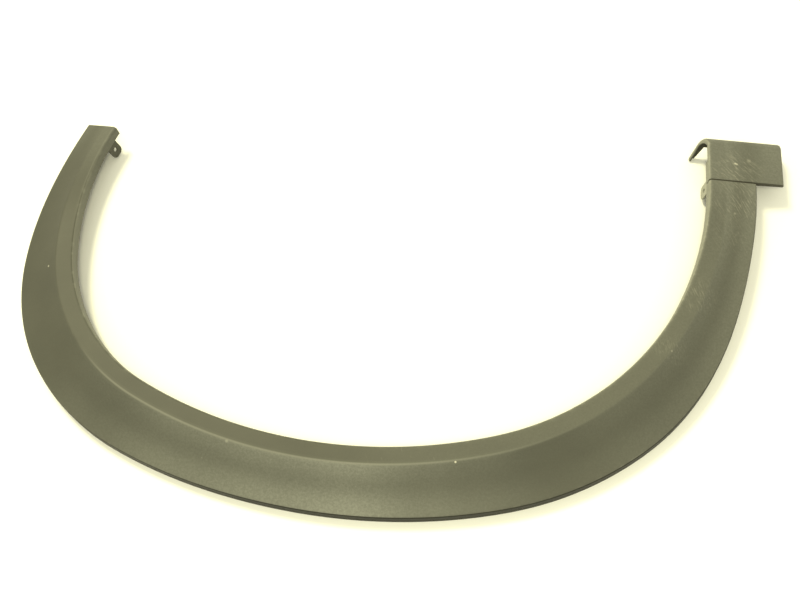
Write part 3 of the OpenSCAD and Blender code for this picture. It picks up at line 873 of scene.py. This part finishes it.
def tower_mesh(fix, skin):
    """One closed surface: a seat with a round-ended slot that opens forward, and three walls that end at the
    heights in skin, given from the inner wall's inner side to the outer wall's outer side."""
    half, wall, slot = fix.tower_len / 2, fix.tower_wall, fix.slot_w / 2
    inner, outer = fix.tower_in, fix.tower_in + fix.tower_w
    mid, turn = (inner + outer) / 2, np.linspace(math.pi / 2, 3 * math.pi / 2, SLOT_POINTS)
    gap = np.concatenate([
        [[half, -mid - slot]], np.stack([slot * np.cos(turn), -mid - slot * np.sin(turn)], -1),
        [[half, -mid + slot]],
    ])
    outside = np.array([[-half, -outer], [half, -outer], [half, -inner], [-half, -inner]])
    inside = np.array([
        [half, wall - outer], [wall - half, wall - outer], [wall - half, -inner - wall],
        [half, -inner - wall],
    ])
    low, high = fix.seat_gap, fix.seat_gap + fix.seat_t
    levels = (
        (outside, low), (gap, low), (gap, high), (inside, high),
        (inside, skin[[2, 2, 1, 1]]), (outside, skin[[3, 3, 0, 0]]),
    )
    points = np.concatenate([np.column_stack([plan, np.broadcast_to(z, len(plan))]) for plan, z in levels])
    starts = np.cumsum([0] + [len(plan) for plan, _ in levels])
    base, slot_low, slot_high, floor, inner_top, outer_top = (
        list(range(a, b)) for a, b in zip(starts, starts[1:]))
    faces = [
        [base[0], base[3], base[2], *slot_low[::-1], base[1]],
        [floor[0], *slot_high, floor[3], floor[2], floor[1]],
        [base[1], slot_low[0], slot_high[0], floor[0], inner_top[0], outer_top[1]],
        [slot_low[-1], base[2], outer_top[2], inner_top[3], floor[3], slot_high[-1]],
        [outer_top[0], outer_top[1], inner_top[0], inner_top[1]],
        [outer_top[0], inner_top[1], inner_top[2], outer_top[3]],
        [outer_top[3], inner_top[2], inner_top[3], outer_top[2]],
    ]
    faces += [[base[a], base[b], outer_top[b], outer_top[a]] for a, b in ((0, 1), (2, 3), (3, 0))]
    faces += [[floor[a], floor[a + 1], inner_top[a + 1], inner_top[a]] for a in range(3)]
    faces += [list(side) for side in zip(slot_low, slot_low[1:], slot_high[1:], slot_high)]
    return points, faces


class TRIM_OT_towers(bpy.types.Operator):
    """Builds the clip towers under the band"""
    bl_idname = "trim.towers"
    bl_label = "Clip towers"

    def execute(self, context):
        shape, cut, fix = sizes(context.scene)
        inner, outer = fix.tower_in, fix.tower_in + fix.tower_w
        pitch = band_length(shape) / fix.tower_count
        parts = []
        for k in range(fix.tower_count):
            s = (k + 0.5) * pitch
            edges = np.array([inner, inner + fix.tower_wall, outer - fix.tower_wall, outer])
            stand, sides = tower_mesh(fix, face_height(shape, cut, s, edges) - cut.wall / 2)
            parts.append((moved(stand, local_frame(shape, s)), sides))
        points, faces = joined(parts)
        piece = mesh_piece("clip_towers", points, faces, trim_material())
        soften = piece.modifiers.new("softened edges", "BEVEL")
        soften.width, soften.segments, soften.limit_method = TOWER_BEVEL, 2, "ANGLE"
        return {"FINISHED"}


class TRIM_OT_ribs(bpy.types.Operator):
    """Builds the shallow cross ribs under the band"""
    bl_idname = "trim.ribs"
    bl_label = "Cross ribs"

    def execute(self, context):
        shape, cut, fix = sizes(context.scene)
        pitch = band_length(shape) / fix.tower_count
        parts = []
        for k in range(1, fix.tower_count):
            s = k * pitch
            end = float(face_end(shape, cut, s)) - cut.wall / 2
            u = np.linspace(cut.wall / 2, end, RIB_POINTS)
            skin = face_height(shape, cut, s, u) - cut.wall / 2
            web = np.concatenate([
                np.column_stack([-u, skin - fix.rib_depth]), np.column_stack([-u, skin])[::-1],
            ])
            points, faces = prism(web[::-1], -fix.rib_t / 2, fix.rib_t / 2)
            # The outline's two directions become Y and Z, and the prism's height becomes X
            parts.append((moved(points[:, [2, 0, 1]], local_frame(shape, s)), faces))
        points, faces = joined(parts)
        mesh_piece("cross_ribs", points, faces, trim_material())
        return {"FINISHED"}


# Camera of 35 mm on a 36 mm sensor, 843 mm above the floor, 65 degrees down, rolled 9 degrees
CAMERA_PLACE = (0.125374, -0.372243, 0.843)
CAMERA_HEADING, CAMERA_TILT, CAMERA_ROLL = math.radians(15.922), math.radians(25), math.radians(-9)
CAMERA_LENS, CAMERA_SENSOR = 35.01, 36.0
# Half the floor's side, and its distance below the rim that the part lies on
FLOOR_REACH, FLOOR_GAP = 6.0, 0.05 * MM
# Soft lamps as (name, place, size, watts, tint), aimed at the middle of the part
LAMPS = (
    ("window_side", (-1.8, 2.25, 3.4), 1.2, 205, (1.0, 0.95, 0.6)),
    ("camera_side", (0.13, -0.43, 1.03), 0.3, 5.5, (1.0, 0.97, 0.64)),
)
# Light that the room's walls throw back
ROOM_TINT, ROOM_STRENGTH = (1.0, 0.97, 0.755, 1.0), 0.96


def matte_floor(finish):
    """Painted studio board: plain, matt and pale."""
    material = bpy.data.materials.new("matt white board")
    material.use_nodes = True
    shader = material.node_tree.nodes["Principled BSDF"]
    shader.inputs["Base Color"].default_value = (*finish.floor, 1.0)
    shader.inputs["Roughness"].default_value = 0.9
    shader.inputs["Specular IOR Level"].default_value = 0.1
    return material


def soft_lamp(name, place, size, watts, tint):
    """Round lamp that shines on the middle of the floor."""
    lamp = bpy.data.lights.new(name, "AREA")
    lamp.shape, lamp.size, lamp.energy, lamp.color = "DISK", size, watts, tint
    stand = bpy.data.objects.new(name, lamp)
    bpy.context.scene.collection.objects.link(stand)
    turn = Vector(place).to_track_quat("Z", "Y").to_matrix().to_4x4()
    stand.matrix_world = Matrix.Translation(place) @ turn


class TRIM_OT_stage(bpy.types.Operator):
    """Sets the floor, the soft lamps and the camera"""
    bl_idname = "trim.stage"
    bl_label = "Stage"

    def execute(self, context):
        scene = context.scene
        corners = FLOOR_REACH * np.array([[-1, -1, 0], [1, -1, 0], [1, 1, 0], [-1, 1, 0]])
        floor_mesh = bpy.data.meshes.new("floor")
        floor_mesh.from_pydata(corners, [], [(0, 1, 2, 3)])
        floor = bpy.data.objects.new("floor", floor_mesh)
        floor_mesh.materials.append(matte_floor(scene.trim_finish))
        scene.collection.objects.link(floor)
        floor.location.z = -FLOOR_GAP
        for lamp in LAMPS:
            soft_lamp(*lamp)
        world = bpy.data.worlds.new("room")
        scene.world = world
        world.use_nodes = True
        room = world.node_tree.nodes["Background"]
        room.inputs["Color"].default_value = ROOM_TINT
        room.inputs["Strength"].default_value = ROOM_STRENGTH
        camera_data = bpy.data.cameras.new("camera")
        camera_data.lens, camera_data.sensor_width = CAMERA_LENS, CAMERA_SENSOR
        camera = bpy.data.objects.new("camera", camera_data)
        scene.collection.objects.link(camera)
        camera.matrix_world = (
            Matrix.Translation(CAMERA_PLACE) @ Matrix.Rotation(CAMERA_HEADING, 4, "Z")
            @ Matrix.Rotation(CAMERA_TILT, 4, "X") @ Matrix.Rotation(CAMERA_ROLL, 4, "Z")
        )
        scene.camera = camera
        scene.view_settings.view_transform = "Standard"
        return {"FINISHED"}


OPERATORS = (TRIM_OT_shell, TRIM_OT_ears, TRIM_OT_towers, TRIM_OT_ribs, TRIM_OT_stage)
GROUPS = {
    "trim_path": TrimPath, "trim_section": TrimSection,
    "trim_fixings": TrimFixings, "trim_finish": TrimFinish,
}


class TRIM_PT_panel(bpy.types.Panel):
    """Lists the steps and the sizes"""
    bl_label = "Wheel arch trim"
    bl_idname = "TRIM_PT_panel"
    bl_space_type = "VIEW_3D"
    bl_region_type = "UI"
    bl_category = "Trim"

    def draw(self, context):
        for step in OPERATORS:
            self.layout.operator(step.bl_idname)
        for group in GROUPS:
            settings = getattr(context.scene, group)
            box = self.layout.box()
            for name in settings.__annotations__:
                box.prop(settings, name)


def register():
    """Adds the classes and the settings."""
    for made in (*GROUPS.values(), *OPERATORS, TRIM_PT_panel):
        bpy.utils.register_class(made)
    for name, group in GROUPS.items():
        setattr(bpy.types.Scene, name, PointerProperty(type=group))


def unregister():
    """Removes the settings and the classes."""
    for name in GROUPS:
        delattr(bpy.types.Scene, name)
    for made in (TRIM_PT_panel, *reversed(OPERATORS), *GROUPS.values()):
        bpy.utils.unregister_class(made)


def main():
    """Builds the stage and the trim."""
    register()
    bpy.ops.trim.stage()
    bpy.ops.trim.shell()
    bpy.ops.trim.ears()
    bpy.ops.trim.towers()
    bpy.ops.trim.ribs()
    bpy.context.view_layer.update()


if __name__ == "__main__":
    main()
